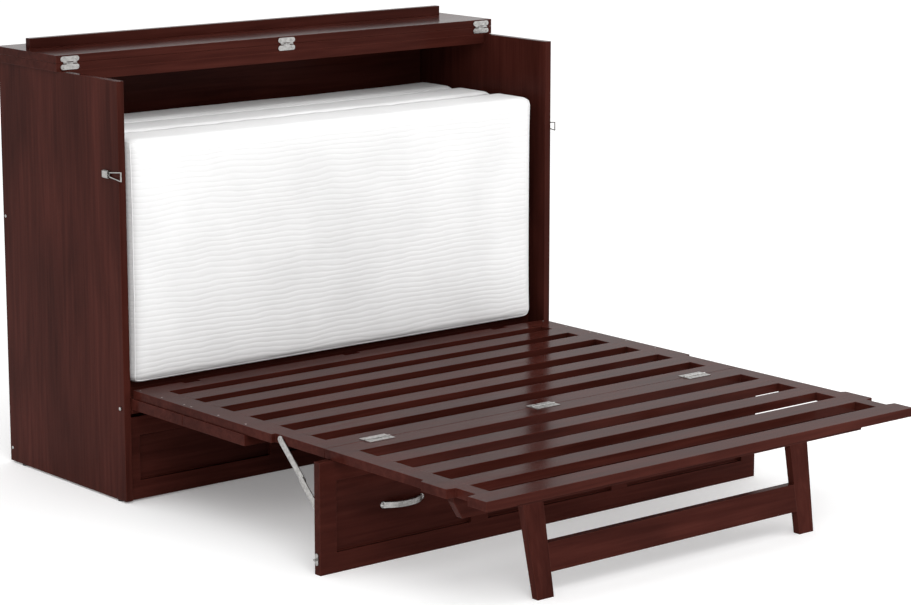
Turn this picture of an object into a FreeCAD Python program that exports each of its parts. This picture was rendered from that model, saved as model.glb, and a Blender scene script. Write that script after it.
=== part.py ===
"""Cabinet bed: a chest that opens into a slatted deck, with a tri-fold mattress standing inside.

Millimetres.  +X is to the right, -Y is the foot end, +Z is up.  The origin is on the floor, under the
middle of the open bed.  Distances "out" are measured towards the foot end from the front edges of the
cabinet sides, so a point at distance out lies at y = front_y - out.
"""

import FreeCAD
import Part
import os
import re
import Sketcher

doc = FreeCAD.newDocument("cabinet_bed")

# ---------------------------------------------------------------- driving dimensions
DIMS = {
    # cabinet
    "outer_width": 1450.0,
    "side_top": 1095.0,
    "side_depth": 570.0,
    "side_thick": 19.5,
    "glide_height": 5.0,
    "glide_radius": 9.1,
    "glide_front": 38.0,
    "glide_rear": 61.0,
    "back_thick": 6.0,
    "base_clearance": 26.0,
    "base_thick": 20.0,
    "base_recess": 6.0,
    "platform_top": 303.5,
    "platform_thick": 18.0,
    "platform_clearance": 4.0,
    "platform_rail_height": 100.0,
    "overhang": 8.0,
    "top_thick": 20.5,
    "lid_thick": 20.0,
    "lid_clearance": 0.4,
    "top_depth": 301.0,
    "apron_height": 27.0,
    "apron_thick": 18.0,
    "cleat_height": 26.0,
    "cleat_thick": 20.0,
    "cleat_inset": 191.0,
    "cleat_end_gap": 10.5,
    "split_gap": 0.5,
    "knuckle_radius": 1.8,
    "knuckle_gap": 0.4,
    "knuckle_length": 20.0,
    # framed fronts
    "stile": 49.0,
    "divider": 53.5,
    "field_depth": 12.0,
    # deck
    "pivot_back": 16.0,
    "pivot_height": 250.0,
    "bolt_radius": 4.0,
    "bolt_head_radius": 4.5,
    "bolt_head_thick": 3.5,
    "bolt_reach": 24.0,
    "bore_clearance": 0.08,
    "deck_top": 298.0,
    "deck_thick": 22.0,
    "deck_rear": 4.0,
    "slat_width": 65.0,
    "rear_gap": 48.5,
    "foot_gap": 70.25,
    "rail_gap": 6.5,
    "rail_width": 65.0,
    "rail_step": 13.0,
    "rail_notch_step": 26.0,
    "stay_zone": 195.0,
    "ear_start": 139.0,
    "ear_end": 63.0,
    "ear_slope": 4.0,
    "wide_slope": 8.0,
    "wide_start": 228.0,
    "seam": 1.0,
    "rear_notch_width": 50.0,
    "rear_notch_depth": 16.0,
    "rear_notch_pitch": 525.0,
    "cut_margin": 1.0,
    "door_gap": 2.0,
    "door_thick": 28.0,
    "door_split": 231.0,
    "door_reveal": 53.0,
    "door_rear": 34.0,
    "boss_width": 46.0,
    "boss_drop": 12.0,
    # butt hinges of the deck
    "leaf_thick": 1.5,
    "leaf_width": 22.0,
    "leaf_length": 76.0,
    "barrel_radius": 2.0,
    "barrel_rise": 2.2,
    "barrel_gap": 0.4,
    "hinge_pitch": 528.0,
    # leg frame
    "leg_thick": 20.0,
    "lean": 10.2,
    "leg_inset": 171.6,
    "leg_play": 0.5,
    "leg_outer": 468.0,
    "leg_inner": 407.0,
    "leg_taper": 12.0,
    "leg_rail_end": 18.0,
    "leg_rail_height": 54.0,
    "leg_rail_corner": 19.0,
    "leg_rail_rise": 38.0,
    "batten_end": 125.0,
    "batten_inset": 47.0,
    "batten_width": 21.0,
    "batten_height": 22.0,
    "stretcher_low": 57.0,
    "stretcher_high": 124.0,
    # drop panel
    "panel_thick": 22.0,
    "panel_out": 10.0,
    "panel_axis_drop": 30.3,
    "panel_play": 1.0,
    "panel_reveal": 0.6,
    "panel_top_gap": 3.0,
    "arm_out": 15.0,
    "arm_width": 15.0,
    "arm_gap": 1.0,
    "arm_depth": 17.0,
    "arm_nose": 5.0,
    "hinge_pin_radius": 2.5,
    "pull_length": 128.0,
    "pull_reach": 25.0,
    "pull_bar": 8.0,
    "pull_height": 14.0,
    "strike_low": 23.0,
    "strike_high": 53.0,
    "strike_width": 12.0,
    "strike_thick": 2.0,
    "strike_back": 13.4,
    "knob_radius": 3.0,
    "knob_length": 7.0,
    # folding stays
    "stay_back": 172.0,
    "stay_upper": 123.0,
    "stay_foot_back": 10.0,
    "stay_foot_height": 128.0,
    "strap_width": 19.0,
    "strap_thick": 2.5,
    "strap_gap": 1.2,
    "rivet_radius": 4.5,
    "rivet_rise": 0.4,
    # draw latches
    "latch_back": 65.0,
    "latch_base_length": 24.0,
    "latch_base_height": 20.0,
    "latch_base_thick": 6.0,
    "lever_length": 24.0,
    "lever_height": 17.0,
    "lever_thick": 2.5,
    "lever_gap": 0.6,
    "bail_gap": 1.5,
    "bail_stand_off": 2.6,
    "bail_reach": 16.0,
    "bail_wide": 25.0,
    "bail_narrow": 13.0,
    "bail_wire": 2.6,
    # lid hinges
    "plate_length": 56.0,
    "plate_height": 14.0,
    "plate_thick": 1.6,
    "plate_inset": 40.0,
    # mattress
    "layer_gap": 23.0,
    "mattress_end_gap": 25.5,
    "mattress_head_room": 155.0,
    "mattress_back_gap": 56.0,
    "mattress_setback": 21.0,
    "mattress_rest_gap": 0.5,
    "mattress_radius": 24.0,
}

# ---------------------------------------------------------------- sizes that follow from them
DERIVED = {
    "half": "outer_width / 2",
    "inner": "(half - side_thick)",
    "front": "((deck_foot - side_depth) / 2)",
    "deck_bottom": "(deck_top - deck_thick)",
    "base_top": "(pivot_height - base_clearance)",
    "platform_setback": "(pivot_back + deck_top - pivot_height + platform_clearance)",
    "rail_wide": "(inner - rail_gap)",
    "rail_inner": "(rail_wide - rail_width)",
    "rail_narrow": "(rail_wide - rail_step)",
    "rail_notch": "(rail_wide - rail_notch_step)",
    "leg_rail_half": "(rail_narrow - leg_rail_end)",
    "batten_half": "(rail_narrow - batten_end)",
    "panel_top": "(deck_bottom - panel_play)",
    "panel_axis_z": "(deck_bottom - panel_axis_drop)",
    "panel_closed_top": "(side_top - panel_top_gap)",
    "panel_axis_out": "(panel_closed_top - pivot_height - pivot_back - panel_top + panel_axis_z)",
    "panel_rear": "(panel_axis_out + panel_reveal - pivot_height + pivot_back + panel_axis_z)",
    "deck_fold": "(panel_rear - panel_out)",
    "mid_gap": "((deck_fold - deck_rear - 7 * slat_width - 2 * rear_gap) / 4)",
    "door_end": "(panel_axis_out - panel_axis_z - door_reveal)",
    "deck_foot": "(deck_fold + 5 * slat_width + 4 * foot_gap)",
    "door_half": "(inner - door_gap)",
    "door_bottom": "(deck_bottom - door_thick)",
    "lid_axis": "(side_top + top_thick + lid_clearance)",
    "lid_rest": "(lid_axis + lid_clearance)",
    "lid_axis_out": "(-split - split_gap + plate_thick + knuckle_gap)",
    "split": "(side_depth - top_depth)",
    "leg_axis_out": "(deck_foot - leg_inset)",
    "leg_axis_z": "(deck_bottom - leg_play)",
    "leg_slice": "(leg_thick / cos(lean))",
    "stay_pin_out": "(deck_fold - stay_back)",
    "stay_pin_z": "(deck_bottom + deck_thick / 2)",
    "stay_foot_out": "(panel_rear - stay_foot_back)",
    "stay_run": "(stay_foot_out - stay_pin_out)",
    "stay_drop": "(stay_pin_z - stay_foot_height)",
    "stay_total": "sqrt(stay_run ^ 2 + stay_drop ^ 2)",
    "stay_elbow_out": "(stay_pin_out + stay_run * stay_upper / stay_total)",
    "stay_elbow_z": "(stay_pin_z - stay_drop * stay_upper / stay_total)",
    "strike_middle": "((strike_low + strike_high) / 2)",
    "latch_height": "(pivot_height + pivot_back + panel_axis_out - panel_axis_z + strike_middle)",
    "mattress_bottom": "(platform_top + mattress_rest_gap)",
    "mattress_width": "(2 * (inner - mattress_end_gap))",
    "mattress_height": "(side_top - mattress_bottom - mattress_head_room)",
    "mattress_room": "(side_depth - back_thick - mattress_setback - mattress_back_gap)",
    "layer_thick": "((mattress_room - 2 * layer_gap) / 3)",
}

sheet = doc.addObject("Spreadsheet::Sheet", "Dims")
for row, (alias, value) in enumerate(DIMS.items(), start=1):
    sheet.set(f"A{row}", alias)
    sheet.set(f"B{row}", str(value))
    sheet.setAlias(f"B{row}", alias)
doc.recompute()


def formula(text):
    """The expression for a size, with each name spelled out as a cell of the sheet."""

    def spell(match):
        name = match.group(0)
        if name in DERIVED:
            return formula(DERIVED[name])
        if name in DIMS:
            return "Dims." + name
        return name

    return re.sub(r"[a-z][a-z_]*", spell, str(text))


def bind(obj, prop, text):
    """Tie one property to a size."""
    obj.setExpression(prop, formula(text))


def y_at(out):
    """The y of a point at a distance out from the front of the cabinet."""
    return f"(front - ({out}))"


def place(obj, x="0", y="0", z="0"):
    """Tie a position to sizes."""
    bind(obj, "Placement.Base.x", x)
    bind(obj, "Placement.Base.y", y)
    bind(obj, "Placement.Base.z", z)


def finish(obj, name):
    """Mark an object as a sub-part that is written out."""
    obj.Label = name
    SUB_PARTS.append(obj)
    return obj


SUB_PARTS = []


def box(name, x, out, z):
    """A block between two sizes along each axis: x, distance out and z are pairs."""
    solid = doc.addObject("Part::Box", name)
    bind(solid, "Length", f"({x[1]}) - ({x[0]})")
    bind(solid, "Width", f"({out[1]}) - ({out[0]})")
    bind(solid, "Height", f"({z[1]}) - ({z[0]})")
    place(solid, x[0], y_at(out[1]), z[0])
    return solid


def rod(name, radius, length, x, out, z, along):
    """A round bar that starts at a point and runs along +X, -X, -Y or +Z."""
    solid = doc.addObject("Part::Cylinder", name)
    bind(solid, "Radius", radius)
    bind(solid, "Height", length)
    turn = {"+x": ((0, 1, 0), 90), "-x": ((0, 1, 0), -90), "-y": ((1, 0, 0), 90), "+z": ((0, 0, 1), 0)}
    axis, angle = turn[along]
    solid.Placement = FreeCAD.Placement(
        FreeCAD.Vector(), FreeCAD.Rotation(FreeCAD.Vector(*axis), angle)
    )
    place(solid, x, y_at(out), z)
    return solid


def cut(name, base, tool):
    """One solid less another."""
    result = doc.addObject("Part::Cut", name)
    result.Base = base
    result.Tool = tool
    return result


def fuse(name, solids):
    """Several solids as one."""
    result = doc.addObject("Part::MultiFuse", name)
    result.Shapes = solids
    return result


PLANES = {"front": "XZ_Plane", "side": "YZ_Plane", "top": "XY_Plane"}


def new_sketch(body, name, plane):
    """A sketch on one of the body's own origin planes."""
    sketch = body.newObject("Sketcher::SketchObject", name)
    role = PLANES[plane]
    base = [feature for feature in body.Origin.OriginFeatures if feature.Role == role][0]
    sketch.AttachmentSupport = [(base, "")]
    sketch.MapMode = "FlatFace"
    return sketch


def outline(sketch, points):
    """A closed outline of straight lines whose corners are tied to sizes."""
    start = sketch.GeometryCount
    count = len(points)
    doc.recompute()
    values = [(sketch_value(u), sketch_value(v)) for u, v in points]
    for index in range(count):
        first = FreeCAD.Vector(*values[index], 0)
        last = FreeCAD.Vector(*values[(index + 1) % count], 0)
        sketch.addGeometry(Part.LineSegment(first, last), False)
    for index in range(count):
        here = start + index
        following = start + (index + 1) % count
        sketch.addConstraint(Sketcher.Constraint("Coincident", here, 2, following, 1))
    for index, (u, v) in enumerate(points):
        for kind, text, value in (("DistanceX", u, values[index][0]), ("DistanceY", v, values[index][1])):
            here = sketch.addConstraint(Sketcher.Constraint(kind, -1, 1, start + index, 1, value))
            sketch.setExpression(f"Constraints[{here}]", formula(text))


def sketch_value(text):
    """The present value of a size."""
    probe = doc.addObject("App::FeaturePython", "probe")
    probe.addProperty("App::PropertyFloat", "Value")
    probe.setExpression("Value", formula(text))
    probe.recompute()
    value = probe.Value
    doc.removeObject(probe.Name)
    return value


def disc(sketch, u, v, radius):
    """A circle tied to sizes."""
    centre = FreeCAD.Vector(sketch_value(u), sketch_value(v), 0)
    index = sketch.addGeometry(
        Part.Circle(centre, FreeCAD.Vector(0, 0, 1), sketch_value(radius)), False
    )
    for kind, text, value in (("DistanceX", u, centre.x), ("DistanceY", v, centre.y)):
        here = sketch.addConstraint(Sketcher.Constraint(kind, -1, 1, index, 3, value))
        sketch.setExpression(f"Constraints[{here}]", formula(text))
    here = sketch.addConstraint(Sketcher.Constraint("Radius", index, sketch_value(radius)))
    sketch.setExpression(f"Constraints[{here}]", formula(radius))


def pad(body, sketch, length, reverse=False):
    """Thicken a sketch."""
    feature = body.newObject("PartDesign::Pad", "Pad")
    feature.Profile = sketch
    feature.Reversed = reverse
    bind(feature, "Length", length)
    doc.recompute()
    return feature


def pocket(body, sketch, length, reverse=False):
    """Cut a sketch into the body, and see that it took something away."""
    before = body.Shape.Volume
    feature = body.newObject("PartDesign::Pocket", "Pocket")
    feature.Profile = sketch
    feature.Reversed = reverse
    bind(feature, "Length", length)
    doc.recompute()
    if not body.Shape.Volume < before - 1:
        raise RuntimeError(f"{body.Name}: the pocket cuts nothing")
    return feature


def slab(name, plane, points, length, x="0", y="0", z="0"):
    """A body padded from one outline.  The front plane pads to -Y, side to +X and top to +Z."""
    body = doc.addObject("PartDesign::Body", name)
    sketch = new_sketch(body, name + "_outline", plane)
    outline(sketch, points)
    pad(body, sketch, length)
    place(body, x, y, z)
    return body


def rectangle(u, v):
    """The four corners between two sizes each way."""
    return [(u[0], v[0]), (u[1], v[0]), (u[1], v[1]), (u[0], v[1])]


SIDES = (("left", "-"), ("right", ""))


def field_spans():
    """The left and right edges of the three recessed fields of a framed front as wide as the cabinet."""
    width = "((outer_width - 2 * stile - 2 * divider) / 3)"
    spans = []
    for index in range(3):
        low = f"(-half + stile + {index} * ({width} + divider))"
        spans.append((low, f"({low} + {width})"))
    return spans


def framed_front(name, width_half, height, thick):
    """A framed front with three recessed fields, standing on z = 0 with its rear face at y = 0."""
    body = doc.addObject("PartDesign::Body", name)
    board = new_sketch(body, name + "_board", "front")
    outline(board, rectangle((f"-({width_half})", width_half), ("0", height)))
    pad(body, board, thick)
    fields = new_sketch(body, name + "_fields", "front")
    bind(fields, "AttachmentOffset.Base.z", thick)
    for low, high in field_spans():
        outline(fields, rectangle((low, high), ("stile", f"({height}) - stile")))
    pocket(body, fields, "field_depth")
    return body


# ---------------------------------------------------------------- cabinet
def make_cabinet():
    """The fixed carcass: sides, back, framed base front, mattress platform, rear top and its apron."""
    glides = []
    for side, sign in SIDES:
        name = f"side_panel_{side}"
        body = doc.addObject("PartDesign::Body", name)
        face = new_sketch(body, name + "_face", "side")
        outline(face, rectangle(("0", "side_depth"), ("glide_height", "side_top")))
        pad(body, face, "side_thick")
        bore = new_sketch(body, name + "_bore", "side")
        disc(bore, "pivot_back", "pivot_height", "bolt_radius + bore_clearance")
        pocket(body, bore, "side_thick", True)
        place(body, "-half" if sign else "inner", y_at("0"), "0")
        finish(body, name)
        for end, out in (("front", "-glide_front"), ("rear", "glide_rear - side_depth")):
            x = f"{sign}(half - side_thick / 2)"
            glide = rod(f"glide_{end}_{side}", "glide_radius", "glide_height", x, out, "0", "+z")
            glides.append(glide)
    finish(fuse("foot_glides", glides), "foot_glides")
    back = box(
        "back_panel",
        ("-inner", "inner"),
        ("-side_depth", "-side_depth + back_thick"),
        ("glide_height", "side_top"),
    )
    finish(back, "back_panel")
    base = framed_front("base_front", "inner", "base_top - glide_height", "base_thick")
    place(base, "0", y_at("-base_recess - base_thick"), "glide_height")
    finish(base, "base_front")
    platform = slab(
        "platform_board",
        "top",
        rectangle(("-inner", "inner"), ("platform_setback", "side_depth - back_thick")),
        "platform_thick",
        y=y_at("0"),
        z="platform_top - platform_thick",
    )
    finish(platform, "platform_board")
    rail = box(
        "platform_rail",
        ("-inner", "inner"),
        ("-platform_setback - platform_thick", "-platform_setback"),
        ("platform_top - platform_thick - platform_rail_height", "platform_top - platform_thick"),
    )
    finish(rail, "platform_rail")
    top = slab(
        "fixed_top",
        "top",
        rectangle(("-half - overhang", "half + overhang"), ("split + split_gap", "side_depth")),
        "top_thick",
        y=y_at("0"),
        z="side_top",
    )
    finish(top, "fixed_top")
    apron = box(
        "top_apron",
        ("-inner", "inner"),
        ("-split - split_gap - apron_thick", "-split - split_gap"),
        ("side_top - apron_height", "side_top"),
    )
    finish(apron, "top_apron")


def make_pivots():
    """Shouldered bolts through the sides, on which the deck turns."""
    for side, sign in SIDES:
        inward = "+x" if sign else "-x"
        outward = "-x" if sign else "+x"
        shank = rod(
            f"bolt_shank_{side}",
            "bolt_radius",
            "side_thick + bolt_reach",
            f"{sign}half",
            "-pivot_back",
            "pivot_height",
            inward,
        )
        head = rod(
            f"bolt_head_{side}",
            "bolt_head_radius",
            "bolt_head_thick",
            f"{sign}half",
            "-pivot_back",
            "pivot_height",
            outward,
        )
        finish(fuse(f"pivot_bolt_{side}", [shank, head]), f"pivot_bolt_{side}")


# ---------------------------------------------------------------- lid
def make_lid():
    """The front half of the top, folded back on the rear half, with a cleat on its inner face."""
    lid = slab(
        "lid_board",
        "top",
        rectangle(("-half - overhang", "half + overhang"), ("split + split_gap", "side_depth")),
        "lid_thick",
        y=y_at("0"),
        z="lid_rest",
    )
    finish(lid, "lid_board")
    cleat = box(
        "lid_cleat",
        ("-inner + cleat_end_gap", "inner - cleat_end_gap"),
        ("-split - cleat_inset - cleat_thick", "-split - cleat_inset"),
        ("lid_rest + lid_thick", "lid_rest + lid_thick + cleat_height"),
    )
    finish(cleat, "lid_cleat")


def make_lid_hinges():
    """Three pairs of round-ended plates on the meeting edges of the two top boards, with knuckles."""
    places = {
        "left": "(-half - overhang + plate_inset)",
        "middle": "0",
        "right": "(half + overhang - plate_inset)",
    }
    levels = {
        "fixed": "(side_top + top_thick / 2)",
        "lid": "(lid_rest + lid_thick / 2)",
    }
    edge = ("-split - split_gap", "-split - split_gap + plate_thick")
    middle = "knuckle_length / 2"
    outer = "(knuckle_length + knuckle_gap)"
    knuckles = {
        "fixed": [(f"-{middle}", middle)],
        "lid": [(f"-{outer}", f"-{middle} - knuckle_gap"), (f"{middle} + knuckle_gap", outer)],
    }
    for half, z in levels.items():
        name = f"top_hinge_{half}"
        solids = []
        for spot, x in places.items():
            flat = "(plate_length - plate_height) / 2"
            bar_x = (f"{x} - {flat}", f"{x} + {flat}")
            bar_z = (f"{z} - plate_height / 2", f"{z} + plate_height / 2")
            solids.append(box(f"{name}_bar_{spot}", bar_x, edge, bar_z))
            for index, sign in enumerate("-+"):
                end = f"{name}_end_{spot}_{index}"
                centre = f"{x} {sign} {flat}"
                solids.append(rod(end, "plate_height / 2", "plate_thick", centre, edge[0], z, "-y"))
            web_z = (z, "lid_axis") if half == "fixed" else ("lid_axis", z)
            for index, (low, high) in enumerate(knuckles[half]):
                start = f"{x} + ({low})"
                web = f"{name}_web_{spot}_{index}"
                barrel = f"{name}_barrel_{spot}_{index}"
                length = f"({high}) - ({low})"
                solids.append(box(web, (start, f"{x} + ({high})"), edge, web_z))
                solids.append(rod(barrel, "knuckle_radius", length, start, "lid_axis_out", "lid_axis", "+x"))
        finish(fuse(name, solids), name)


# ---------------------------------------------------------------- deck
def slat_spans():
    """Near and far edges of the inner slats of the two deck halves, as distances out."""
    near = []
    start = "(deck_rear + slat_width"
    gaps = ["rear_gap", "rear_gap", "mid_gap", "mid_gap", "mid_gap"]
    for index, gap in enumerate(gaps):
        start = f"{start} + {gap}"
        near.append((f"{start} + {index} * slat_width)", f"{start} + {index + 1} * slat_width)"))
    far = []
    for index in range(1, 4):
        low = f"(deck_fold + {index} * (slat_width + foot_gap))"
        far.append((low, f"({low} + slat_width)"))
    return near, far


def mirrored(points):
    """An outline's right half, given from bottom to top, with its left half added."""
    return points + [(f"-({u})", v) for u, v in reversed(points)]


def make_deck_a():
    """The near deck half: a frame, five inner slats and two framed doors under it."""
    body = doc.addObject("PartDesign::Body", "deck_a_frame")
    rim = new_sketch(body, "deck_a_rim", "top")
    fold = "-(deck_fold - seam)"
    step = "-(deck_fold - stay_zone)"
    outline(
        rim,
        mirrored(
            [("rail_narrow", fold), ("rail_narrow", step), ("rail_wide", step), ("rail_wide", "-deck_rear")]
        ),
    )
    outline(
        rim,
        rectangle(
            ("-rail_inner", "rail_inner"), ("-(deck_fold - slat_width)", "-(deck_rear + slat_width)")
        ),
    )
    pad(body, rim, "deck_thick")
    notches = new_sketch(body, "deck_a_notches", "top")
    for index in (-1, 0, 1):
        centre = f"{index} * rear_notch_pitch"
        outline(
            notches,
            rectangle(
                (f"{centre} - rear_notch_width / 2", f"{centre} + rear_notch_width / 2"),
                ("-(deck_rear + rear_notch_depth)", "-deck_rear + cut_margin"),
            ),
        )
    pocket(body, notches, "deck_thick", True)
    place(body, "0", y_at("0"), "deck_bottom")
    finish(body, "deck_a_frame")
    near, _ = slat_spans()
    for index, span in enumerate(near, start=1):
        slat = box(f"deck_a_slat_{index}", ("-rail_inner", "rail_inner"), span, ("deck_bottom", "deck_top"))
        finish(slat, f"deck_a_slat_{index}")


def make_doors():
    """Two framed fronts under the near deck half, which close the cabinet when the deck is up."""
    spans = {
        "door_lower": ("-door_rear", "door_split - door_gap / 2"),
        "door_upper": ("door_split + door_gap / 2", "door_end"),
    }
    for name, (start, end) in spans.items():
        body = doc.addObject("PartDesign::Body", name)
        board = new_sketch(body, name + "_board", "top")
        outline(board, rectangle(("-door_half", "door_half"), (f"-({end})", f"-({start})")))
        pad(body, board, "door_thick")
        visible = "0" if name == "door_lower" else start
        fields = new_sketch(body, name + "_fields", "top")
        for low, high in field_spans():
            outline(
                fields,
                rectangle((low, high), (f"-({end}) + stile", f"-({visible}) - stile")),
            )
        pocket(body, fields, "field_depth", True)
        if name == "door_lower":
            add_pivot_bosses(body)
        place(body, "0", y_at("0"), "door_bottom")
        finish(body, name)


def add_pivot_bosses(body):
    """Thicker ends that the pivot bolts turn in."""
    for side, sign in SIDES:
        low, high = ("-door_half", "-door_half + boss_width") if sign else (
            "door_half - boss_width",
            "door_half",
        )
        boss = new_sketch(body, f"boss_{side}", "top")
        outline(boss, rectangle((low, high), ("-(door_rear - pivot_back * 2)", "door_rear")))
        pad(body, boss, "boss_drop", True)
        bore = new_sketch(body, f"boss_bore_{side}", "side")
        bind(bore, "AttachmentOffset.Base.z", low)
        disc(bore, "pivot_back", "pivot_height - door_bottom", "bolt_radius + bore_clearance")
        pocket(body, bore, "boss_width", True)


def make_deck_b():
    """The far deck half: a frame with a grip notch each side, and three inner slats."""
    body = doc.addObject("PartDesign::Body", "deck_b_frame")
    rim = new_sketch(body, "deck_b_rim", "top")
    outline(
        rim,
        mirrored(
            [
                ("rail_wide", "-deck_foot"),
                ("rail_wide", "-(deck_foot - ear_end)"),
                ("rail_notch", "-(deck_foot - ear_end - ear_slope)"),
                ("rail_notch", "-(deck_foot - ear_start + ear_slope)"),
                ("rail_wide", "-(deck_foot - ear_start)"),
                ("rail_wide", "-(deck_foot - wide_start)"),
                ("rail_narrow", "-(deck_foot - wide_start - wide_slope)"),
                ("rail_narrow", "-(deck_fold + seam)"),
            ]
        ),
    )
    outline(
        rim,
        rectangle(
            ("-rail_inner", "rail_inner"), ("-(deck_foot - slat_width)", "-(deck_fold + slat_width)")
        ),
    )
    pad(body, rim, "deck_thick")
    place(body, "0", y_at("0"), "deck_bottom")
    finish(body, "deck_b_frame")
    _, far = slat_spans()
    for index, span in enumerate(far, start=1):
        slat = box(f"deck_b_slat_{index}", ("-rail_inner", "rail_inner"), span, ("deck_bottom", "deck_top"))
        finish(slat, f"deck_b_slat_{index}")
    batten = box(
        "foot_batten",
        ("-batten_half", "batten_half"),
        ("deck_foot - batten_inset - batten_width", "deck_foot - batten_inset"),
        ("deck_bottom - batten_height", "deck_bottom"),
    )
    finish(batten, "foot_batten")


def make_deck_hinges():
    """Three butt hinges on top of the deck, where its halves meet."""
    third = "(leaf_length / 3)"
    level = "(deck_top + barrel_rise)"
    clear = "(barrel_radius + barrel_gap)"
    middle = [(f"{third} + barrel_gap / 2", f"{third} - barrel_gap")]
    ends = [("0", third), (f"2 * {third}", third)]
    for index, spot in enumerate(("left", "middle", "right")):
        start = f"({index - 1} * hinge_pitch - leaf_length / 2)"
        for half, sign, knuckles in (("a", "-", middle), ("b", "+", ends)):
            name = f"deck_hinge_{half}_{spot}"
            near, far = f"deck_fold {sign} {clear}", f"deck_fold {sign} leaf_width"
            out = (far, near) if half == "a" else (near, far)
            web_out = (near, "deck_fold") if half == "a" else ("deck_fold", near)
            top = ("deck_top", "deck_top + leaf_thick")
            raised = ("deck_top + barrel_gap", "deck_top + leaf_thick")
            solids = [box(name + "_leaf", (start, f"{start} + leaf_length"), out, top)]
            for number, (offset, length) in enumerate(knuckles):
                low = f"{start} + {offset}"
                web_x = (low, f"{low} + {length}")
                solids.append(box(f"{name}_web_{number}", web_x, web_out, raised))
                barrel = f"{name}_barrel_{number}"
                solids.append(rod(barrel, "barrel_radius", length, low, "deck_fold", level, "+x"))
            finish(fuse(name, solids), name)


def make_panel_hinges():
    """Three hinges behind the drop panel: arms under the near deck, and a lug on the panel between them."""
    deck_side = []
    panel_side = []
    level = ("panel_axis_z - arm_nose", "deck_bottom")
    lug_level = ("panel_axis_z - arm_nose", "panel_axis_z + arm_nose")
    arm_span = ("panel_axis_out - arm_depth", "panel_axis_out + arm_nose")
    for index in (-1, 0, 1):
        centre = f"({index} * hinge_pitch)"
        start, end = f"{centre} - arm_out - arm_width", f"{centre} + arm_out + arm_width"
        deck_side.append(box("arm_low", (start, f"{centre} - arm_out"), arm_span, level))
        deck_side.append(box("arm_high", (f"{centre} + arm_out", end), arm_span, level))
        pin_length = "2 * (arm_out + arm_width)"
        pin_at = (start, "panel_axis_out", "panel_axis_z", "+x")
        deck_side.append(rod("hinge_pin", "hinge_pin_radius", pin_length, *pin_at))
        lug_x = (f"{centre} - arm_out + arm_gap", f"{centre} + arm_out - arm_gap")
        lug = box("lug", lug_x, ("panel_axis_out - arm_nose", "panel_rear"), lug_level)
        bore = rod("lug_bore", "hinge_pin_radius + bore_clearance", pin_length, *pin_at)
        panel_side.append(cut("bored_lug", lug, bore))
    finish(fuse("panel_hinge_arms", deck_side), "panel_hinge_arms")
    finish(fuse("panel_hinge_lugs", panel_side), "panel_hinge_lugs")


# ---------------------------------------------------------------- leg frame
def lean_slice(low, high):
    """The side outline of a board in the leaning plane, between two heights, as (-out, z) corners."""
    corners = []
    for z, shift in ((low, "0"), (low, "leg_slice"), (high, "leg_slice"), (high, "0")):
        out = f"(leg_axis_out + (leg_axis_z - ({z})) * tan(lean) + {shift})"
        corners.append((f"-{out}", z))
    return corners


def make_leg_frame():
    """Two tapered legs, a stretcher and a round-ended top rail, all in one leaning plane."""
    rail_low = "(leg_axis_z - leg_rail_height)"
    name = "leg_top_rail"
    body = doc.addObject("PartDesign::Body", name)
    profile = new_sketch(body, name + "_profile", "side")
    outline(profile, lean_slice(rail_low, "leg_axis_z"))
    pad(body, profile, "2 * leg_rail_half")
    corners = new_sketch(body, name + "_corners", "front")
    bind(corners, "AttachmentOffset.Base.z", "leg_axis_out - leg_thick")
    for end, inward in (("0", "+"), ("2 * leg_rail_half", "-")):
        side_point = (end, f"{rail_low} + leg_rail_rise")
        outline(corners, [(end, rail_low), (f"{end} {inward} leg_rail_corner", rail_low), side_point])
    pocket(body, corners, "leg_axis_z", True)
    place(body, "-leg_rail_half", y_at("0"), "0")
    finish(body, name)
    for side, sign in SIDES:
        name = f"leg_{side}"
        body = doc.addObject("PartDesign::Body", name)
        profile = new_sketch(body, name + "_profile", "side")
        outline(profile, lean_slice("0", rail_low))
        pad(body, profile, "leg_outer - leg_inner")
        taper = new_sketch(body, name + "_taper", "front")
        bind(taper, "AttachmentOffset.Base.z", "leg_axis_out - leg_thick")
        outer, inner = ("0", "leg_taper") if sign else (
            "leg_outer - leg_inner",
            "leg_outer - leg_inner - leg_taper",
        )
        outline(taper, [(outer, "0"), (inner, "0"), (outer, rail_low)])
        pocket(body, taper, "leg_axis_z", True)
        place(body, "-leg_outer" if sign else "leg_inner", y_at("0"), "0")
        finish(body, name)
    bar = slab(
        "leg_stretcher",
        "side",
        lean_slice("stretcher_low", "stretcher_high"),
        "2 * leg_inner",
        x="-leg_inner",
        y=y_at("0"),
    )
    finish(bar, "leg_stretcher")


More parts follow.
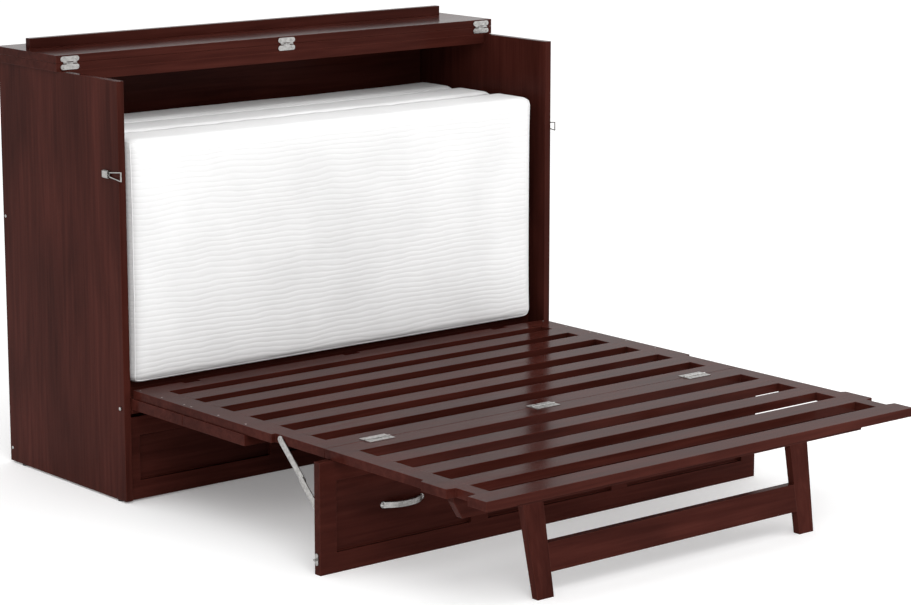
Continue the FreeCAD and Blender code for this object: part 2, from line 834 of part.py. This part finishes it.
# ---------------------------------------------------------------- drop panel
def make_drop_panel():
    """The framed drawer-like front that hangs under the fold of the deck and props it."""
    panel = framed_front("drop_panel", "half", "panel_top", "panel_thick")
    place(panel, "0", y_at("panel_rear"), "0")
    finish(panel, "drop_panel")
    radius = "(((pull_length / 2) ^ 2 + pull_reach ^ 2) / (2 * pull_reach))"
    face = "(panel_rear + panel_thick - field_depth)"
    centre_out = f"({face} + pull_reach - {radius})"
    for index, (low, high) in enumerate(field_spans()):
        spot = ("left", "middle", "right")[index]
        name = f"pull_{spot}"
        x = f"(({low} + {high}) / 2)"
        z = "(panel_top / 2 - pull_height / 2)"
        outer = rod(name + "_outer", radius, "pull_height", x, centre_out, z, "+z")
        inner = rod(name + "_inner", f"{radius} - pull_bar", "pull_height", x, centre_out, z, "+z")
        ring = cut(name + "_ring", outer, inner)
        keep = box(
            name + "_keep",
            (f"{x} - pull_length", f"{x} + pull_length"),
            (face, f"{face} + 2 * pull_reach"),
            (z, f"{z} + pull_height"),
        )
        bow = doc.addObject("Part::Common", name)
        bow.Base = ring
        bow.Tool = keep
        finish(bow, name)
    for side, sign in SIDES:
        name = f"strike_{side}"
        outward = "-x" if sign else "+x"
        out = "(panel_rear + panel_thick - strike_back)"
        low, high = ("-half - strike_thick", "-half") if sign else ("half", "half + strike_thick")
        round_off = "strike_width / 2"
        plate = box(
            name + "_plate",
            (low, high),
            (f"{out} - {round_off}", f"{out} + {round_off}"),
            (f"strike_low + {round_off}", f"strike_high - {round_off}"),
        )
        ends = [
            rod(f"{name}_end_{number}", round_off, "strike_thick", f"{sign}half", out, z, outward)
            for number, z in enumerate((f"strike_low + {round_off}", f"strike_high - {round_off}"))
        ]
        reach = "strike_thick + knob_length"
        knob_at = (f"{sign}half", out, "strike_middle", outward)
        knob = rod(name + "_knob", "knob_radius", reach, *knob_at)
        finish(fuse(name, [plate, knob] + ends), name)


# ---------------------------------------------------------------- folding stays
def strap(name, start, end, x):
    """A flat link with round ends and a rivet at each, between two (out, z) points."""
    body = doc.addObject("PartDesign::Body", name)
    run = f"({end[0]} - {start[0]})"
    rise = f"({end[1]} - {start[1]})"
    length = f"sqrt({run} ^ 2 + {rise} ^ 2)"
    bar = new_sketch(body, name + "_bar", "side")
    across = "strap_width / 2"
    outline(bar, rectangle((f"-({length})", "0"), (f"-{across}", across)))
    pad(body, bar, "strap_thick")
    for number, centre in enumerate(("0", f"-({length})")):
        end_disc = new_sketch(body, f"{name}_end_{number}", "side")
        disc(end_disc, centre, "0", across)
        pad(body, end_disc, "strap_thick")
        rivet = new_sketch(body, f"{name}_rivet_{number}", "side")
        disc(rivet, centre, "0", "rivet_radius")
        pad(body, rivet, "strap_thick + rivet_rise")
    body.Placement = FreeCAD.Placement(
        FreeCAD.Vector(), FreeCAD.Rotation(FreeCAD.Vector(1, 0, 0), 1)
    )
    place(body, x, y_at(start[0]), start[1])
    bind(body, "Placement.Rotation.Angle", f"atan(-({rise}) / ({run}))")
    return finish(body, name)


def make_stays():
    """A two-link folding stay each side, from the deck rail to the drop panel."""
    pin = ("stay_pin_out", "stay_pin_z")
    elbow = ("stay_elbow_out", "stay_elbow_z")
    foot = ("stay_foot_out", "stay_foot_height")
    for side, sign in SIDES:
        first = "rail_narrow + strap_gap"
        second = "rail_narrow + 2 * strap_gap + strap_thick"
        upper_x = f"-({first}) - strap_thick" if sign else first
        lower_x = f"-({second}) - strap_thick" if sign else second
        strap(f"stay_upper_{side}", pin, elbow, upper_x)
        strap(f"stay_lower_{side}", elbow, foot, lower_x)


# ---------------------------------------------------------------- draw latches
def make_latches():
    """A draw latch on the outer face of each side: a base, a lever over it and a wire bail."""
    base_z = ("latch_height - latch_base_height / 2", "latch_height + latch_base_height / 2")
    lever_z = ("latch_height - lever_height / 2", "latch_height + lever_height / 2")
    for side, sign in SIDES:
        outer = "half + latch_base_thick"
        cover = f"{outer} + lever_gap"
        base_x = (f"-({outer})", "-half") if sign else ("half", outer)
        lever_x = (f"-({cover} + lever_thick)", f"-({cover})") if sign else (cover, f"{cover} + lever_thick")
        base_out = ("-latch_back", "-latch_back + latch_base_length")
        lever_out = ("-latch_back", "-latch_back + lever_length")
        finish(box(f"latch_base_{side}", base_x, base_out, base_z), f"latch_base_{side}")
        finish(box(f"latch_lever_{side}", lever_x, lever_out, lever_z), f"latch_lever_{side}")
        name = f"latch_bail_{side}"
        body = doc.addObject("PartDesign::Body", name)
        loop = new_sketch(body, name + "_loop", "side")
        hinge = "(latch_back - latch_base_length - bail_gap)"
        for inset in ("0", "bail_wire"):
            outline(
                loop,
                [
                    (f"{hinge} - {inset}", f"-bail_narrow / 2 + {inset}"),
                    (f"{hinge} - {inset}", f"bail_narrow / 2 - {inset}"),
                    (f"-bail_reach + {inset}", f"bail_wide / 2 - {inset}"),
                    (f"-bail_reach + {inset}", f"-bail_wide / 2 + {inset}"),
                ],
            )
        pad(body, loop, "bail_wire")
        x = "-half - bail_stand_off - bail_wire" if sign else "half + bail_stand_off"
        place(body, x, y_at("0"), "latch_height")
        finish(body, name)


# ---------------------------------------------------------------- mattress
def make_mattress():
    """Three foam layers of a tri-fold mattress, standing on edge on the platform."""
    for index, spot in enumerate(("front", "middle", "rear")):
        name = f"mattress_{spot}"
        body = doc.addObject("PartDesign::Body", name)
        start = f"(mattress_setback + {index} * (layer_thick + layer_gap))"
        face = new_sketch(body, name + "_face", "front")
        outline(face, rectangle(("-mattress_width / 2", "mattress_width / 2"), ("0", "mattress_height")))
        block = pad(body, face, "layer_thick")
        rounding = body.newObject("PartDesign::Fillet", name + "_rounding")
        rounding.Base = (block, [f"Edge{number}" for number in range(1, 13)])
        bind(rounding, "Radius", "mattress_radius")
        doc.recompute()
        place(body, "0", y_at(f"-{start} - layer_thick"), "mattress_bottom")
        finish(body, name)


def write_sub_parts():
    """Check every object, then write each sub-part to its own file."""
    doc.recompute()
    for obj in doc.Objects:
        if {"Invalid", "Error"} & set(obj.State):
            raise RuntimeError(f"{obj.Label} failed: {obj.State}")
    os.makedirs("parts", exist_ok=True)
    for obj in SUB_PARTS:
        shape = obj.Shape
        if shape.isNull() or not shape.isValid() or not shape.Solids:
            raise RuntimeError(f"{obj.Label} is not a valid solid")
        shape.exportStep(os.path.join("parts", obj.Label + ".step"))
    print(len(SUB_PARTS), "sub-parts")


make_cabinet()
make_pivots()
make_lid()
make_lid_hinges()
make_deck_a()
make_doors()
make_deck_b()
make_deck_hinges()
make_panel_hinges()
make_leg_frame()
make_drop_panel()
make_stays()
make_latches()
make_mattress()
write_sub_parts()
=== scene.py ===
"""Looks for the cabinet bed: lacquered mahogany, nickel hardware and a quilted tri-fold mattress."""

import math

import bmesh
import bpy
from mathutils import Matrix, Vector, noise


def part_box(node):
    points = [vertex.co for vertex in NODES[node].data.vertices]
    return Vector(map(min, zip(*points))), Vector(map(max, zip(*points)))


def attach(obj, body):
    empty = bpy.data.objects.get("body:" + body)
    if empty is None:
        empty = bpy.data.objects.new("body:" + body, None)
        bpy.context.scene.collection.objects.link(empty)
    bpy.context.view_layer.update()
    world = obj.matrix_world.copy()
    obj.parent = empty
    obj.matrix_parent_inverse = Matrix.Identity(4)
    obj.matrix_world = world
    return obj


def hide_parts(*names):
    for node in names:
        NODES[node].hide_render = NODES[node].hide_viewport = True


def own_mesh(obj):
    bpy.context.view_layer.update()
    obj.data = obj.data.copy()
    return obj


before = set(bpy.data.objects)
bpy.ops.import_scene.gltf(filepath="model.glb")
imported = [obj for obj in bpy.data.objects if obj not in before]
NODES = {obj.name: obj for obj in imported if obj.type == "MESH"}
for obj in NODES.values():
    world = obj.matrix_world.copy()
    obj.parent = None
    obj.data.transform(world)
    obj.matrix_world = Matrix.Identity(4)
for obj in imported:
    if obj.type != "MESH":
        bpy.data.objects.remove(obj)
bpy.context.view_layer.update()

# ---------------------------------------------------------------- sizes that the pieces share, in metres
MATTRESS_ROUNDING = 0.027
MATTRESS_PUFF = 0.0105
MATTRESS_SEAM = 0.0016
MATTRESS_SWAY = 0.0016
END_DRAW = 0.004
TOP_SAG = 0.005
TOP_SWAY = 0.0012
QUILT_PITCH = 0.0145
FOLD_DROP = 0.011
FOLD_OVERLAP = 0.006

# head radius and height of each kind of screw and rivet
RAIL_SCREW = (0.0024, 0.0006)
SIDE_CAP = (0.0045, 0.0018)
LEAF_SCREW = (0.0030, 0.0006)
PLATE_SCREW = (0.0030, 0.0003)
STAY_RIVET = (0.0042, 0.0016)

RAIL_SCREW_INSET = 0.012
DOOR_SCREW_SHARES = (0.06, 0.5, 0.94)
CAP_INSET = 0.010
CAP_HEIGHTS = (0.041, 0.68)
LEAF_STANDS = 0.0015
LEAF_SCREW_SHARES = (0.17, 0.5, 0.83)
PLATE_STANDS = 0.0016
PLATE_HALF = 0.028
PLATE_SCREW_OFFSET = 0.019
RIVET_INSET = 0.0095
PULL_FOOT_INSET = 0.005
PULL_FOOT = [(0.0085, 0.0), (0.0085, 0.0012), (0.0075, 0.0026), (0.0052, 0.0036), (0.0040, 0.0050)]

# how finely the soft shapes are divided
FOAM_CUTS = 34
SEAM_STEPS = 56
SEAM_SIDES = 8
FOLD_COLUMNS = 64

DECK_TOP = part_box("deck_a_frame")[1].z
SIDE_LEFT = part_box("side_panel_left")[0].x
SIDE_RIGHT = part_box("side_panel_right")[1].x


# ---------------------------------------------------------------- materials
class Nodes:
    """A material's node tree, with short ways to add and join nodes."""

    def __init__(self, name):
        self.material = bpy.data.materials.new(name)
        self.material.use_nodes = True
        self.tree = self.material.node_tree
        self.shader = self.tree.nodes["Principled BSDF"]

    def add(self, kind, inputs=None, **settings):
        node = self.tree.nodes.new("ShaderNode" + kind)
        for key, value in settings.items():
            setattr(node, key, value)
        for key, value in (inputs or {}).items():
            if isinstance(value, bpy.types.NodeSocket):
                self.tree.links.new(value, node.inputs[key])
            else:
                node.inputs[key].default_value = value
        return node

    def join(self, output, name):
        self.tree.links.new(output, self.shader.inputs[name])

    def ramp(self, factor, stops):
        node = self.add("ValToRGB", {"Fac": factor})
        elements = node.color_ramp.elements
        while len(elements) < len(stops):
            elements.new(0.5)
        for element, (position, value) in zip(elements, stops):
            element.position = position
            element.color = (*value, 1.0) if len(value) == 3 else (value[0],) * 3 + (1.0,)
        return node.outputs["Color"]

    def stretched(self, scale):
        place = self.add("TexCoord").outputs["Object"]
        return self.add("Mapping", {"Vector": place, "Scale": scale}).outputs["Vector"]


def lacquered_wood(name, grain, dark, middle, light):
    """Dark stain over fine grain that runs along one axis, with a painted highlight lightening the
    edges.
    """
    across_grain, along_grain = 34.0, 1.6
    edge_rounding = 0.0022
    n = Nodes(name)
    scale = [across_grain] * 3
    scale["XYZ".index(grain)] = along_grain
    fine_look = {"Scale": 2.2, "Detail": 7.0, "Distortion": 0.5}
    fine = n.add("TexNoise", {"Vector": n.stretched(scale), **fine_look})
    cloud_at = n.stretched([value * 0.12 + 1.5 for value in scale])
    cloud = n.add("TexNoise", {"Vector": cloud_at, "Scale": 1.3, "Detail": 3.0, "Distortion": 0.8})
    grain_colour = n.ramp(fine.outputs["Fac"], [(0.32, dark), (0.55, middle), (0.78, light)])
    shade = n.ramp(cloud.outputs["Fac"], [(0.3, (0.74,)), (0.7, (1.20,))])
    colour = n.add("Mix", data_type="RGBA", blend_type="MULTIPLY")
    colour.inputs[0].default_value = 1.0
    n.tree.links.new(grain_colour, colour.inputs[6])
    n.tree.links.new(shade, colour.inputs[7])
    soft = n.add("Bevel", {"Radius": edge_rounding}, samples=4)
    # painted highlight: the base colour turns much lighter where the rounded-edge normal parts from the
    # true face normal
    true = n.add("NewGeometry")
    turn = n.add("VectorMath", operation="DOT_PRODUCT")
    n.tree.links.new(soft.outputs["Normal"], turn.inputs[0])
    n.tree.links.new(true.outputs["Normal"], turn.inputs[1])
    edge = n.ramp(turn.outputs["Value"], [(0.80, (0.75,)), (0.985, (0.0,))])
    painted_edge_highlight = n.add("Mix", data_type="RGBA", blend_type="MIX")
    n.tree.links.new(edge, painted_edge_highlight.inputs[0])
    n.tree.links.new(colour.outputs[2], painted_edge_highlight.inputs[6])
    painted_edge_highlight.inputs[7].default_value = (light[0] * 1.7, light[1] * 1.7, light[2] * 1.6, 1.0)
    n.join(painted_edge_highlight.outputs[2], "Base Color")
    gloss = n.ramp(cloud.outputs["Fac"], [(0.3, (0.13,)), (0.75, (0.24,))])
    n.join(gloss, "Roughness")
    bump = n.add("Bump", {"Strength": 0.07, "Distance": 0.0007, "Height": fine.outputs["Fac"]})
    n.tree.links.new(soft.outputs["Normal"], bump.inputs["Normal"])
    n.join(bump.outputs["Normal"], "Normal")
    n.shader.inputs["Specular IOR Level"].default_value = 0.022
    return n.material


def nickel(name):
    """Satin nickel with fine brushing and small handling marks."""
    n = Nodes(name)
    brush_lines = n.stretched([30.0, 30.0, 900.0])
    brushed = n.add("TexNoise", {"Vector": brush_lines, "Scale": 2.0, "Detail": 4.0})
    marks = n.add("TexNoise", {"Vector": n.stretched([60.0] * 3), "Scale": 2.0, "Detail": 2.0})
    dull, bright = (0.29, 0.285, 0.275), (0.45, 0.44, 0.43)
    n.join(n.ramp(marks.outputs["Fac"], [(0.3, dull), (0.7, bright)]), "Base Color")
    n.join(n.ramp(brushed.outputs["Fac"], [(0.3, (0.20,)), (0.7, (0.36,))]), "Roughness")
    soft = n.add("Bevel", {"Radius": 0.0006}, samples=4)
    bump = n.add("Bump", {"Strength": 0.08, "Distance": 0.0002, "Height": brushed.outputs["Fac"]})
    n.tree.links.new(soft.outputs["Normal"], bump.inputs["Normal"])
    n.join(bump.outputs["Normal"], "Normal")
    n.shader.inputs["Metallic"].default_value = 1.0
    return n.material


def moulded_plastic(name):
    """Black moulded plastic with a fine spark-eroded texture."""
    n = Nodes(name)
    grit = n.add("TexNoise", {"Vector": n.stretched([700.0] * 3), "Scale": 2.0, "Detail": 2.0})
    n.join(n.ramp(grit.outputs["Fac"], [(0.3, (0.012,)), (0.7, (0.03,))]), "Base Color")
    n.join(n.ramp(grit.outputs["Fac"], [(0.3, (0.5,)), (0.7, (0.65,))]), "Roughness")
    bump = n.add("Bump", {"Strength": 0.2, "Distance": 0.0002, "Height": grit.outputs["Fac"]})
    n.join(bump.outputs["Normal"], "Normal")
    return n.material


def quilted_knit(name, strength):
    """White stretch knit, sewn in close wavy rows."""
    n = Nodes(name)
    place = n.add("TexCoord").outputs["Object"]
    wander_at = n.stretched([5.0, 5.0, 9.0])
    wander = n.add("TexNoise", {"Vector": wander_at, "Scale": 1.0, "Detail": 2.0})
    shift = n.add("VectorMath", operation="SCALE")
    n.tree.links.new(wander.outputs["Color"], shift.inputs[0])
    shift.inputs["Scale"].default_value = QUILT_PITCH * 2.2
    moved = n.add("VectorMath", operation="ADD")
    n.tree.links.new(place, moved.inputs[0])
    n.tree.links.new(shift.outputs["Vector"], moved.inputs[1])
    wave_scale = math.pi / (10.0 * QUILT_PITCH)
    rows = n.add(
        "TexWave",
        {"Vector": moved.outputs["Vector"], "Scale": wave_scale, "Distortion": 0.7},
        bands_direction="Z",
    )
    rows.inputs["Detail"].default_value = 1.0
    puffs = n.ramp(rows.outputs["Fac"], [(0.0, (0.0,)), (0.35, (0.75,)), (1.0, (1.0,))])
    stitches = n.stretched([900.0, 900.0, 1400.0])
    knit = n.add("TexNoise", {"Vector": stitches, "Scale": 1.0, "Detail": 2.0})
    broad = n.add("TexNoise", {"Vector": place, "Scale": 6.0, "Detail": 2.0})
    n.join(n.ramp(broad.outputs["Fac"], [(0.3, (0.80,)), (0.7, (0.87,))]), "Base Color")
    n.join(n.ramp(knit.outputs["Fac"], [(0.3, (0.75,)), (0.7, (0.92,))]), "Roughness")
    first = n.add("Bump", {"Strength": 0.12, "Distance": 0.0004, "Height": knit.outputs["Fac"]})
    second = n.add("Bump", {"Strength": strength, "Distance": 0.0016, "Height": puffs})
    n.tree.links.new(first.outputs["Normal"], second.inputs["Normal"])
    n.join(second.outputs["Normal"], "Normal")
    n.shader.inputs["Sheen Weight"].default_value = 0.25
    n.shader.inputs["Sheen Roughness"].default_value = 0.5
    return n.material


DARK = (0.037, 0.0084, 0.0060)
MIDDLE = (0.0485, 0.0116, 0.0083)
LIGHT = (0.060, 0.0152, 0.0110)
WOOD = {axis: lacquered_wood(f"mahogany_{axis}", axis, DARK, MIDDLE, LIGHT) for axis in "XZ"}
NICKEL = nickel("satin_nickel")
PLASTIC = moulded_plastic("black_plastic")
TICKING = quilted_knit("quilted_ticking", 0.34)
SEAM_TAPE = quilted_knit("seam_tape", 0.0)

METAL_WORDS = ("hinge", "bolt", "latch", "pull", "strike", "stay")
UPRIGHT = ("side_panel", "leg_left", "leg_right")


def finish_cad_nodes():
    """Give each carried-over CAD node the material of what it is."""
    for name, obj in NODES.items():
        material = WOOD["X"]
        if any(word in name for word in METAL_WORDS):
            material = NICKEL
        elif name.startswith(UPRIGHT):
            material = WOOD["Z"]
        elif "glide" in name:
            material = PLASTIC
        for socket in obj.material_slots:
            socket.material = material


# ---------------------------------------------------------------- mesh helpers
def piece(name, mesh, material, body):
    """Turn a bmesh into a smooth-shaded piece that rides on a body."""
    bmesh.ops.recalc_face_normals(mesh, faces=mesh.faces)
    data = bpy.data.meshes.new(name)
    mesh.to_mesh(data)
    mesh.free()
    for face in data.polygons:
        face.use_smooth = True
    data.materials.append(material)
    obj = bpy.data.objects.new(name, data)
    bpy.context.collection.objects.link(obj)
    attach(obj, body)
    return obj


def loop_of_rings(mesh, rings, closed):
    """Skin a row of equal rings, joined end to end or capped."""
    made = [[mesh.verts.new(point) for point in ring] for ring in rings]
    count = len(made[0])
    steps = len(made) if closed else len(made) - 1
    for index in range(steps):
        here, following = made[index], made[(index + 1) % len(made)]
        for side in range(count):
            other = (side + 1) % count
            mesh.faces.new((here[side], here[other], following[other], following[side]))
    if not closed:
        mesh.faces.new(made[0])
        mesh.faces.new(made[-1])


def across(axis):
    """Two directions square to an axis."""
    first = axis.orthogonal().normalized()
    return first, axis.cross(first)


def turned(mesh, centre, axis, profile, sides=18):
    """A turned form on an axis from (radius, height) pairs."""
    first, second = across(axis)
    rings = []
    for radius, height in profile:
        ring = []
        for index in range(sides):
            angle = 2 * math.pi * index / sides
            outward = first * math.cos(angle) + second * math.sin(angle)
            ring.append(centre + axis * height + outward * radius)
        rings.append(ring)
    loop_of_rings(mesh, rings, closed=False)


def screw_profile(radius, height):
    """A low domed head with a driver socket in its middle."""
    dome = [(radius * math.cos(t), height * math.sin(t)) for t in (0.0, 0.5, 1.0)]
    socket = [(radius * 0.36, height * 0.98), (radius * 0.30, height * 0.35)]
    return [(radius, -height * 0.5)] + dome + socket


def heads(name, places, axis, size, body):
    """A set of domed screw or rivet heads on one body."""
    mesh = bmesh.new()
    for place in places:
        turned(mesh, Vector(place), Vector(axis), screw_profile(*size))
    return piece(name, mesh, NICKEL, body)


# ---------------------------------------------------------------- mattress
def foam_shape(half, unit):
    """A point of a crowned block with soft edges, from a point on a unit cube."""
    a, b, c = unit
    point = Vector((a * half.x, b * half.y, c * half.z))
    limits = [extent - MATTRESS_ROUNDING for extent in half]
    inner = Vector([max(-limit, min(limit, value)) for limit, value in zip(limits, point)])
    beyond = point - inner
    if beyond.length > 0:
        point = inner + beyond.normalized() * MATTRESS_ROUNDING
    point.y += MATTRESS_PUFF * b * abs(b) * (1 - abs(a) ** 8) * (1 - abs(c) ** 8)
    point.x -= END_DRAW * a * abs(a) ** 3 * (1 - c**4)
    if c > 0:
        point.z -= TOP_SAG * c**4 * (1 - a**4)
    return point


def foam_block(index, spot):
    """One layer of the mattress and its border seams."""
    node = f"mattress_{spot}"
    low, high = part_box(node)
    centre = (low + high) / 2
    half = (high - low) / 2
    mesh = bmesh.new()
    bmesh.ops.create_cube(mesh, size=2.0)
    bmesh.ops.subdivide_edges(mesh, edges=mesh.edges, cuts=FOAM_CUTS, use_grid_fill=True)
    for vertex in mesh.verts:
        unit = [math.sin(value * math.pi / 2) for value in vertex.co]
        shaped = foam_shape(half, unit)
        sway = noise.noise(shaped * 7.0 + Vector((0, 3.0 * index, 0)))
        shaped.y += MATTRESS_SWAY * sway * (1 - abs(unit[2]) ** 6)
        shaped.z += TOP_SWAY * sway * max(0.0, unit[2]) ** 8
        vertex.co = centre + shaped
    block = piece(f"foam_{spot}", mesh, TICKING, node)
    smooth = block.modifiers.new("soft", "SUBSURF")
    smooth.levels = 1
    smooth.render_levels = 1
    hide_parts(node)
    seams = border_seams(centre, half, spot, node)
    for obj in (block, seams):
        bake_modifiers(obj)
        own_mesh(obj)


def fold_fabric(front, rear, at_top):
    """The knit that joins two neighbouring layers along one long edge."""
    front_low, front_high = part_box(f"mattress_{front}")
    rear_low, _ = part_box(f"mattress_{rear}")
    level = front_high.z - FOLD_DROP if at_top else front_low.z + FOLD_DROP
    start, end = front_high.y - FOLD_OVERLAP, rear_low.y + FOLD_OVERLAP
    half = (front_high.x - front_low.x) / 2 - MATTRESS_ROUNDING
    # the strip's section, as shares of the way across and rises in millimetres
    under = [(0, -1), (0.25, -1.6), (0.5, -2.0), (0.75, -1.6), (1, -1)]
    over = [(1, 1), (0.75, 0.4), (0.5, 0), (0.25, 0.4), (0, 1)]
    rings = []
    for index in range(FOLD_COLUMNS + 1):
        x = -half + 2 * half * index / FOLD_COLUMNS
        ripple = 0.0007 * math.sin(index * 1.7) + 0.0005 * math.sin(index * 0.63)
        ring = []
        for share, rise in under + over:
            y = start + (end - start) * share
            ring.append(Vector((x, y, level + rise * 0.001 + ripple)))
        rings.append(ring)
    mesh = bmesh.new()
    loop_of_rings(mesh, rings, closed=False)
    strip = piece(f"fold_{front}_{rear}", mesh, SEAM_TAPE, f"mattress_{front}")
    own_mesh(strip)


def bake_modifiers(obj):
    """Apply an object's modifiers to its own mesh."""
    bpy.context.view_layer.update()
    evaluated = obj.evaluated_get(bpy.context.evaluated_depsgraph_get())
    shaped = bpy.data.meshes.new_from_object(evaluated)
    obj.modifiers.clear()
    obj.data = shaped


def border_seams(centre, half, spot, body):
    """Fine taped seams round the front and rear faces of a layer."""
    mesh = bmesh.new()
    corners = [(-1, -1), (1, -1), (1, 1), (-1, 1)]
    for side in (-1, 1):
        path = []
        for start, end in zip(corners, corners[1:] + corners[:1]):
            for index in range(SEAM_STEPS):
                share = 0.5 - 0.5 * math.cos(math.pi * index / SEAM_STEPS)
                a = start[0] + (end[0] - start[0]) * share
                c = start[1] + (end[1] - start[1]) * share
                path.append(centre + foam_shape(half, (a, side * 0.97, c)))
        rings = []
        for index, point in enumerate(path):
            ahead = (path[(index + 1) % len(path)] - path[index - 1]).normalized()
            first = Vector((0, 1, 0))
            second = ahead.cross(first).normalized()
            ring = []
            for corner in range(SEAM_SIDES):
                angle = 2 * math.pi * corner / SEAM_SIDES
                outward = first * math.cos(angle) + second * math.sin(angle)
                ring.append(point + outward * MATTRESS_SEAM)
            rings.append(ring)
        loop_of_rings(mesh, rings, closed=True)
    return piece(f"seams_{spot}", mesh, SEAM_TAPE, body)


# ---------------------------------------------------------------- small hardware
def deck_screws():
    """Screws through the near deck's rails into the doors below, three to a door at each side.

    A row keeps to the length where the door and the deck frame overlap.
    """
    spots = []
    frame_low, frame_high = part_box("deck_a_frame")
    line = frame_high.x - RAIL_SCREW_INSET
    for door in ("door_lower", "door_upper"):
        door_low, door_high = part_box(door)
        start, end = max(door_low.y, frame_low.y), min(door_high.y, frame_high.y)
        for side in (-1, 1):
            for share in DOOR_SCREW_SHARES:
                spots.append((side * line, start + (end - start) * share, DECK_TOP))
    heads("rail_screws_deck_near", spots, (0, 0, 1), RAIL_SCREW, "deck_near")


def side_caps():
    """Cap screws on the outer faces of the sides, near the rear edge."""
    for side, x in ((-1, SIDE_LEFT), (1, SIDE_RIGHT)):
        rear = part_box("side_panel_left")[1].y - CAP_INSET
        spots = [(x, rear, z) for z in CAP_HEIGHTS]
        label = "left" if side < 0 else "right"
        heads(f"side_caps_{label}", spots, (side, 0, 0), SIDE_CAP, "cabinet")


def leaf_screws():
    """Screws in the leaves of the deck hinges and in the lid hinge plates."""
    for half, body in (("a", "deck_near"), ("b", "deck_far")):
        spots = []
        for spot in ("left", "middle", "right"):
            low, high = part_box(f"deck_hinge_{half}_{spot}")
            y = low.y + (high.y - low.y) * (0.70 if half == "a" else 0.30)
            for share in LEAF_SCREW_SHARES:
                spots.append((low.x + (high.x - low.x) * share, y, DECK_TOP + LEAF_STANDS))
        heads(f"leaf_screws_{half}", spots, (0, 0, 1), LEAF_SCREW, body)
    for half, body in (("fixed", "cabinet"), ("lid", "lid")):
        low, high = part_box(f"top_hinge_{half}")
        board_low, board_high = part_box("fixed_top" if half == "fixed" else "lid_board")
        z = (board_low.z + board_high.z) / 2
        face = board_low.y - PLATE_STANDS
        spots = []
        for middle in (low.x + PLATE_HALF, 0.0, high.x - PLATE_HALF):
            for offset in (-PLATE_SCREW_OFFSET, PLATE_SCREW_OFFSET):
                spots.append((middle + offset, face, z))
        heads(f"plate_screws_{half}", spots, (0, -1, 0), PLATE_SCREW, body)


def pull_feet():
    """Round feet where the bow pulls meet the drop panel."""
    mesh = bmesh.new()
    for spot in ("left", "middle", "right"):
        low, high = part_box(f"pull_{spot}")
        z = (low.z + high.z) / 2
        for x in (low.x + PULL_FOOT_INSET, high.x - PULL_FOOT_INSET):
            turned(mesh, Vector((x, high.y, z)), Vector((0, -1, 0)), PULL_FOOT, sides=24)
    return piece("pull_feet", mesh, NICKEL, "drop_front")


def stay_rivets():
    """Domed rivets at the fixed ends of the folding stays."""
    for side, sign in (("left", -1), ("right", 1)):
        for part, body in (("upper", f"stay_upper_{side}"), ("lower", f"stay_lower_{side}")):
            low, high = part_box(body)
            x = low.x if sign < 0 else high.x
            if part == "upper":
                spot = (x, high.y - RIVET_INSET, high.z - RIVET_INSET)
            else:
                spot = (x, low.y + RIVET_INSET, low.z + RIVET_INSET)
            heads(f"rivet_{part}_{side}", [spot], (sign, 0, 0), STAY_RIVET, body)


# ---------------------------------------------------------------- stage, light and camera
def stage_floor():
    """A plain pale floor with a little glow, which keeps its shadows light."""
    bpy.ops.mesh.primitive_plane_add(size=60.0, location=(0, 0, 0))
    floor = bpy.context.object
    floor.name = "floor"
    n = Nodes("floor")
    n.shader.inputs["Base Color"].default_value = (0.93, 0.93, 0.93, 1.0)
    n.shader.inputs["Roughness"].default_value = 0.9
    n.shader.inputs["Specular IOR Level"].default_value = 0.1
    n.shader.inputs["Emission Color"].default_value = (1.0, 1.0, 1.0, 1.0)
    n.shader.inputs["Emission Strength"].default_value = 0.18
    floor.data.materials.append(n.material)


def area_light(name, place, target, size, power):
    """A large soft lamp that points at a target."""
    lamp = bpy.data.lights.new(name, "AREA")
    lamp.shape = "SQUARE"
    lamp.size = size
    lamp.energy = power
    obj = bpy.data.objects.new(name, lamp)
    obj.location = place
    obj.rotation_euler = (Vector(target) - Vector(place)).to_track_quat("-Z", "Y").to_euler()
    bpy.context.collection.objects.link(obj)


def studio():
    """A bright even surround with one softer key."""
    world = bpy.data.worlds.new("studio")
    world.use_nodes = True
    background = world.node_tree.nodes["Background"]
    background.inputs["Color"].default_value = (1.0, 1.0, 1.0, 1.0)
    background.inputs["Strength"].default_value = 1.0
    bpy.context.scene.world = world
    middle, lamp_size = (0, 0, 0.4), 3.0
    key_power, fill_power = 112.0, 60.0
    area_light("key", (-2.6, -4.2, 4.2), middle, lamp_size, key_power)
    area_light("fill", (4.5, -2.5, 2.6), middle, lamp_size, fill_power)
    bpy.context.scene.view_settings.view_transform = "Standard"


def camera():
    """The viewpoint: low and far off the left of the foot end."""
    azimuth, elevation = math.radians(-39.6), math.radians(11.42)
    back = Vector(
        (
            math.sin(azimuth) * math.cos(elevation),
            -math.cos(azimuth) * math.cos(elevation),
            math.sin(elevation),
        )
    )
    lens = bpy.data.cameras.new("camera")
    lens.lens = 114.3
    lens.sensor_width = 36.0
    obj = bpy.data.objects.new("camera", lens)
    obj.location = (-4.667, -5.6785, 1.987)
    obj.rotation_mode = "QUATERNION"
    obj.rotation_quaternion = (-back).to_track_quat("-Z", "Y")
    bpy.context.collection.objects.link(obj)
    bpy.context.scene.camera = obj


finish_cad_nodes()
for number, layer in enumerate(("front", "middle", "rear")):
    foam_block(number, layer)
fold_fabric("front", "middle", at_top=True)
fold_fabric("middle", "rear", at_top=False)
deck_screws()
side_caps()
leaf_screws()
pull_feet()
stay_rivets()
stage_floor()
studio()
camera()
